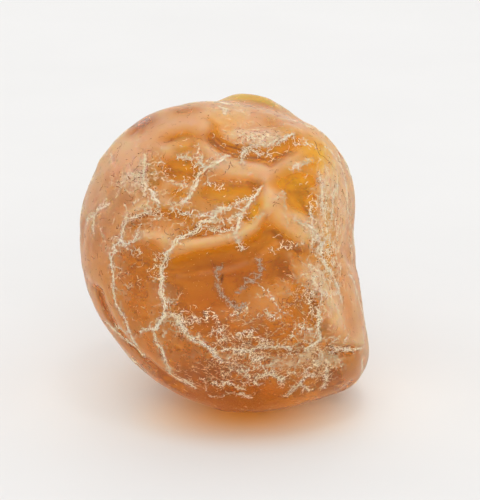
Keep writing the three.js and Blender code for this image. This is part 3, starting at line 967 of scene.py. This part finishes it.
# ---------------------------------------------------------------------------
# What is sealed in the resin: flecks of bark and earth that stuck to it while
# it ran, dark brown and mostly finer than a millimetre. They lie under the skin
# and show where the skin is clear.
# ---------------------------------------------------------------------------
FLECKS = 420
SIDES = 5  # corners round the waist of each, between its two pointed ends
fleck_points = []
fleck_faces = []
for _ in range(FLECKS):
    place, normal = onto_skin(cad_surface.ray_cast(MIDDLE, any_way())[0])
    place = place - normal * min(6, 0.7 + luck.expovariate(0.7)) * MM
    size = min(0.5, 0.06 + luck.expovariate(11)) * MM
    long = any_way()
    wide = long.orthogonal().normalized()
    thick = long.cross(wide)
    first = len(fleck_points)
    stretch = luck.uniform(1, 3.5)
    fleck_points += [place - long * size * stretch, place + long * size * stretch]
    for k in range(SIDES):
        angle = 2 * math.pi * k / SIDES + luck.uniform(-0.4, 0.4)
        way = wide * math.cos(angle) + thick * math.sin(angle) * 0.5
        waist = place + way * size * luck.uniform(0.5, 1.1)
        fleck_points.append(waist + long * size * luck.uniform(-0.5, 0.5))
    for k in range(SIDES):
        here, there = first + 2 + k, first + 2 + (k + 1) % SIDES
        fleck_faces += [(first, there, here), (first + 1, here, there)]

DARK_BARK, PALE_BARK = tone("#5A2A10"), tone("#8A4A20")
flecks = new_mesh("sealed_in_flecks", fleck_points, fleck_faces, smooth=False)
bark = Finish("bark fleck")
bark.set(
    Base_Color=bark.blend(bark.ramp(bark.grain(1.5, 3), 0.4, 0.6, 0, 1), DARK_BARK, PALE_BARK),
    Roughness=bark.ramp(bark.grain(0.3, 3), 0.3, 0.7, 0.5, 0.8),
    Normal=bark.bump(bark.grain(0.08, 3, 0.7), 0.02, 0.8),
)
flecks.data.materials.append(bark.material)
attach(flecks, "root")

# ---------------------------------------------------------------------------
# The table it lies on: a sheet of white paper, far larger than the amber. A warm oval is painted
# into the paper's colour under it and in front of it, fading out to white: a painted pool of the
# light that comes through the amber.
# ---------------------------------------------------------------------------
TABLE = 4.0  # metres from its middle to its edge
DULL_WHITE, WHITE = (0.72, 0.716, 0.71, 1), (0.76, 0.756, 0.75, 1)
PAINTED_GLOW_COLOUR = (0.54, 0.27, 0.07, 1)
GLOW_X, GLOW_Y = 0.003, -0.0095  # the middle of the warm oval, in metres
GLOW_WIDE, GLOW_DEEP = 0.019, 0.0155  # and its half width and half depth
corners = [(-TABLE, -TABLE, 0), (TABLE, -TABLE, 0), (TABLE, TABLE, 0), (-TABLE, TABLE, 0)]
table = new_mesh("table", corners, [(0, 1, 2, 3)], smooth=False)
paper = Finish("white paper")
white = paper.blend(paper.grain(40, 3), DULL_WHITE, WHITE)
away = paper.tree.nodes.new("ShaderNodeVectorMath")
away.operation = "MULTIPLY_ADD"
paper.plug(away.inputs[0], paper.place)
away.inputs[1].default_value = (1 / GLOW_WIDE, 1 / GLOW_DEEP, 0)
away.inputs[2].default_value = (-GLOW_X / GLOW_WIDE, -GLOW_Y / GLOW_DEEP, 0)
far = paper.tree.nodes.new("ShaderNodeVectorMath")
far.operation = "LENGTH"
paper.plug(far.inputs[0], away.outputs[0])
# Painted light: the warm oval is laid into the paper's colour, strongest at its middle.
painted_glow = paper.ramp(far.outputs["Value"], 0, 1, 1, 0)
painted_glow.node.interpolation_type = "SMOOTHSTEP"
paper.set(
    Base_Color=paper.blend(painted_glow, white, PAINTED_GLOW_COLOUR),
    Roughness=0.7,
    Specular_IOR_Level=0.2,
)
table.data.materials.append(paper.material)

# ---------------------------------------------------------------------------
# The light: a white room all round, a broad soft box above and behind, a panel
# in front, a small window, and two weak lamps close to the paper, which light
# nothing but it and stand for what shines through the amber.
# ---------------------------------------------------------------------------
ROOM_WHITE = (1.0, 0.995, 0.99, 1)
room = bpy.data.worlds.new("white room")
room.use_nodes = True
walls = room.node_tree.nodes["Background"]
walls.inputs["Color"].default_value = ROOM_WHITE
walls.inputs["Strength"].default_value = 1.0
bpy.context.scene.world = room


def lamp(name, place, aim, width, height, watts, colour=(1, 1, 1)):
    """A flat lamp of that size in metres, turned towards its aim."""
    light = bpy.data.lights.new(name, "AREA")
    light.shape = "RECTANGLE"
    light.size = width
    light.size_y = height
    light.energy = watts
    light.color = colour
    holder = bpy.data.objects.new(name, light)
    bpy.context.scene.collection.objects.link(holder)
    holder.location = place
    holder.rotation_euler = (Vector(aim) - Vector(place)).to_track_quat("-Z", "Y").to_euler()
    return holder


AMBER_PLACE = (0, 0, 0.02)
lamp("soft box", (-0.05, 0.5, 0.9), (0, 0, 0), 0.7, 0.7, 1.6)
lamp("front panel", (0.1, -1.0, 0.5), AMBER_PLACE, 0.6, 0.6, 1.7)
table_only = bpy.data.collections.new("table only")
table_only.objects.link(table)
# Name, place, width and depth in metres, watts and colour of the two weak ones.
THROWN = [
    ("glow", (0.003, -0.012, 0.006), 0.03, 0.008, 2.4e-4, (1.0, 0.6, 0.05)),
    ("halo", (0.001, -0.006, 0.012), 0.06, 0.022, 1.1e-3, (1.0, 0.94, 0.78)),
]
for name, place, width, depth, watts, colour in THROWN:
    weak_lamp = lamp(name, place, (place[0], place[1], 0), width, depth, watts, colour)
    weak_lamp.visible_camera = False
    weak_lamp.light_linking.receiver_collection = table_only
    weak_lamp.light_linking.blocker_collection = table_only
lamp("window", (0.1, -0.05, 0.8), AMBER_PLACE, 0.12, 0.12, 0.35)

# ---------------------------------------------------------------------------
# The eye: close up, square to the broad face and so 20 degrees above level, a
# little to the right of its middle. Everything is sharp.
# ---------------------------------------------------------------------------
DISTANCE = 0.33  # metres
ASIDE, ABOVE = 2.25, 1.8  # mm from the middle of the face
lens = bpy.data.cameras.new("eye")
lens.sensor_width = 36
lens.lens = 158.4
lens.clip_start = 0.01
lens.clip_end = 20
camera = bpy.data.objects.new("eye", lens)
bpy.context.scene.collection.objects.link(camera)
camera.location = MIDDLE - INTO_FACE * DISTANCE + FACE_RIGHT * (ASIDE * MM) + FACE_UP * (ABOVE * MM)
camera.rotation_euler = INTO_FACE.to_track_quat("-Z", "Y").to_euler()
bpy.context.scene.camera = camera
bpy.context.scene.view_settings.view_transform = "Standard"
bpy.context.scene.cycles.use_denoising = True
